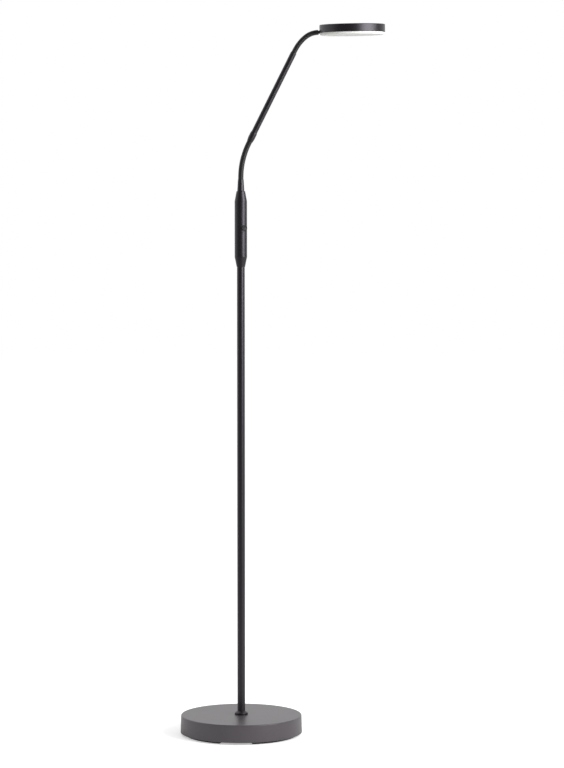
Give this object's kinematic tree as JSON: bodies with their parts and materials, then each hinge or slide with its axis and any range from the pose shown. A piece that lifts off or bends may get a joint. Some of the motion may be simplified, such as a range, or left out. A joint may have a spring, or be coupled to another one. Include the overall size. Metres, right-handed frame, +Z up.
{
  "type": "gooseneck reading floor lamp",
  "caption": "Floor reading lamp: weighted round base, slim pole, grip with push button, two flexible necks joined by a straight arm, and a flat round head with an opal diffuser.",
  "frame": {"origin": "centre of the base on the floor, on the pole's axis", "axes": "+Z up along the pole, +X towards the side the arm leans to, -Y the side the picture was taken from"},
  "size_m": [0.4208, 0.2533, 1.4645],
  "materials": {
    "black_paint": "satin black powder coat",
    "neck_black": "black ribbed flexible steel tube",
    "head_black": "satin black powder coat on aluminium",
    "opal": "opal white, lightly frosted",
    "white_plastic": "matt white",
    "black_rubber": "matt black rubber",
    "plated_steel": "bright zinc plated",
    "plate_black": "thin black paint",
    "cast_iron": "rough casting",
    "black_plastic": "matt black plastic",
    "button_black": "smooth black plastic",
    "circuit_board": "green solder mask",
    "bare_aluminium": "plain aluminium",
    "led_yellow": "phosphor yellow"
  },
  "bodies": {
    "stand": {"base_cover": "black_paint", "pole": "black_paint", "pole_collar": "black_paint", "handle_lower_cone": "black_paint", "handle_tube": "black_paint", "handle_upper_cone": "black_paint", "neck_ferrule": "black_paint", "lower_neck_00": "neck_black", "foot_pad_front_right": "black_rubber", "foot_pad_rear_right": "black_rubber", "foot_pad_rear_left": "black_rubber", "foot_pad_front_left": "black_rubber", "cord_grommet": "black_rubber", "base_plate_screws": "plated_steel", "base_nipple": "plated_steel", "base_washer": "plated_steel", "base_locknut": "plated_steel", "base_plate": "plate_black", "base_weight": "cast_iron", "pole_foot_bush": "black_plastic", "tact_switch": "black_plastic", "board_components": "black_plastic", "pole_lead": "black_plastic", "button_bezel": "button_black", "dimmer_board": "circuit_board"},
    "button": {"button": "button_black", "switch_plunger": "button_black"},
    "lower_1": {"lower_neck_01": "neck_black"},
    "lower_2": {"lower_neck_02": "neck_black"},
    "lower_3": {"lower_neck_03": "neck_black"},
    "lower_4": {"lower_neck_04": "neck_black"},
    "lower_5": {"lower_neck_05": "neck_black"},
    "lower_6": {"lower_neck_06": "neck_black"},
    "lower_7": {"lower_neck_07": "neck_black"},
    "lower_8": {"lower_neck_08": "neck_black"},
    "arm": {"arm_ferrule": "black_paint", "arm_tube": "black_paint", "arm_lead": "black_plastic", "lower_neck_09": "neck_black", "upper_neck_00": "neck_black"},
    "upper_1": {"upper_neck_01": "neck_black"},
    "upper_2": {"upper_neck_02": "neck_black"},
    "upper_3": {"upper_neck_03": "neck_black"},
    "upper_4": {"upper_neck_04": "neck_black"},
    "upper_5": {"upper_neck_05": "neck_black"},
    "upper_6": {"upper_neck_06": "neck_black"},
    "upper_7": {"upper_neck_07": "neck_black"},
    "upper_8": {"upper_neck_08": "neck_black"},
    "head": {"upper_neck_09": "neck_black", "head_stub": "plated_steel", "head_housing": "head_black", "head_bracket": "bare_aluminium", "head_bracket_screws": "plated_steel", "led_board": "bare_aluminium", "led_chips": "led_yellow", "reflector": "white_plastic", "diffuser": "opal"}
  },
  "joints": [
    {"name": "lower_bend_1", "type": "hinge", "parent": "stand", "child": "lower_1", "pos_m": [0, 0, 1.1522], "axis": [0, 1, 0], "range_deg": [-19, 10]},
    {"name": "lower_side_2", "type": "hinge", "parent": "lower_1", "child": "lower_2", "pos_m": [0.00026, 0, 1.16121], "axis": [0.9983, 0, -0.0578], "range_deg": [-18, 18]},
    {"name": "lower_bend_3", "type": "hinge", "parent": "lower_2", "child": "lower_3", "pos_m": [0.00104, 0, 1.1702], "axis": [0, 1, 0], "range_deg": [-19, 10]},
    {"name": "lower_bend_4", "type": "hinge", "parent": "lower_3", "child": "lower_4", "pos_m": [0.00234, 0, 1.17912], "axis": [0, 1, 0], "range_deg": [-19, 10]},
    {"name": "lower_side_5", "type": "hinge", "parent": "lower_4", "child": "lower_5", "pos_m": [0.00415, 0, 1.18796], "axis": [0.9734, 0, -0.2292], "range_deg": [-18, 18]},
    {"name": "lower_bend_6", "type": "hinge", "parent": "lower_5", "child": "lower_6", "pos_m": [0.00647, 0, 1.19667], "axis": [0, 1, 0], "range_deg": [-19, 10]},
    {"name": "lower_bend_7", "type": "hinge", "parent": "lower_6", "child": "lower_7", "pos_m": [0.00929, 0, 1.20524], "axis": [0, 1, 0], "range_deg": [-19, 10]},
    {"name": "lower_side_8", "type": "hinge", "parent": "lower_7", "child": "lower_8", "pos_m": [0.0126, 0, 1.21362], "axis": [0.9192, 0, -0.3937], "range_deg": [-18, 18]},
    {"name": "lower_bend_9", "type": "hinge", "parent": "lower_8", "child": "arm", "pos_m": [0.01639, 0, 1.22181], "axis": [0, 1, 0], "range_deg": [-19, 10]},
    {"name": "upper_bend_1", "type": "hinge", "parent": "arm", "child": "upper_1", "pos_m": [0.11067, 0, 1.41091], "axis": [0, 1, 0], "range_deg": [-24, 6]},
    {"name": "upper_side_2", "type": "hinge", "parent": "upper_1", "child": "upper_2", "pos_m": [0.11402, 0, 1.41699], "axis": [0.8552, 0, -0.5183], "range_deg": [-18, 18]},
    {"name": "upper_bend_3", "type": "hinge", "parent": "upper_2", "child": "upper_3", "pos_m": [0.11786, 0, 1.42277], "axis": [0, 1, 0], "range_deg": [-24, 6]},
    {"name": "upper_bend_4", "type": "hinge", "parent": "upper_3", "child": "upper_4", "pos_m": [0.12217, 0, 1.42823], "axis": [0, 1, 0], "range_deg": [-24, 6]},
    {"name": "upper_side_5", "type": "hinge", "parent": "upper_4", "child": "upper_5", "pos_m": [0.1269, 0, 1.4333], "axis": [0.7026, 0, -0.7116], "range_deg": [-18, 18]},
    {"name": "upper_bend_6", "type": "hinge", "parent": "upper_5", "child": "upper_6", "pos_m": [0.13204, 0, 1.43798], "axis": [0, 1, 0], "range_deg": [-24, 6]},
    {"name": "upper_bend_7", "type": "hinge", "parent": "upper_6", "child": "upper_7", "pos_m": [0.13772, 0, 1.44196], "axis": [0, 1, 0], "range_deg": [-24, 6]},
    {"name": "upper_side_8", "type": "hinge", "parent": "upper_7", "child": "upper_8", "pos_m": [0.14399, 0, 1.44494], "axis": [0.3521, 0, -0.936], "range_deg": [-18, 18]},
    {"name": "upper_bend_9", "type": "hinge", "parent": "upper_8", "child": "head", "pos_m": [0.15066, 0, 1.44683], "axis": [0, 1, 0], "range_deg": [-24, 6]},
    {"name": "button_press", "type": "slide", "parent": "stand", "child": "button", "axis": [-0.6157, 0.788, 0], "range_m": [0, 0.001], "stiffness_N_per_m": 1500}
  ]
}
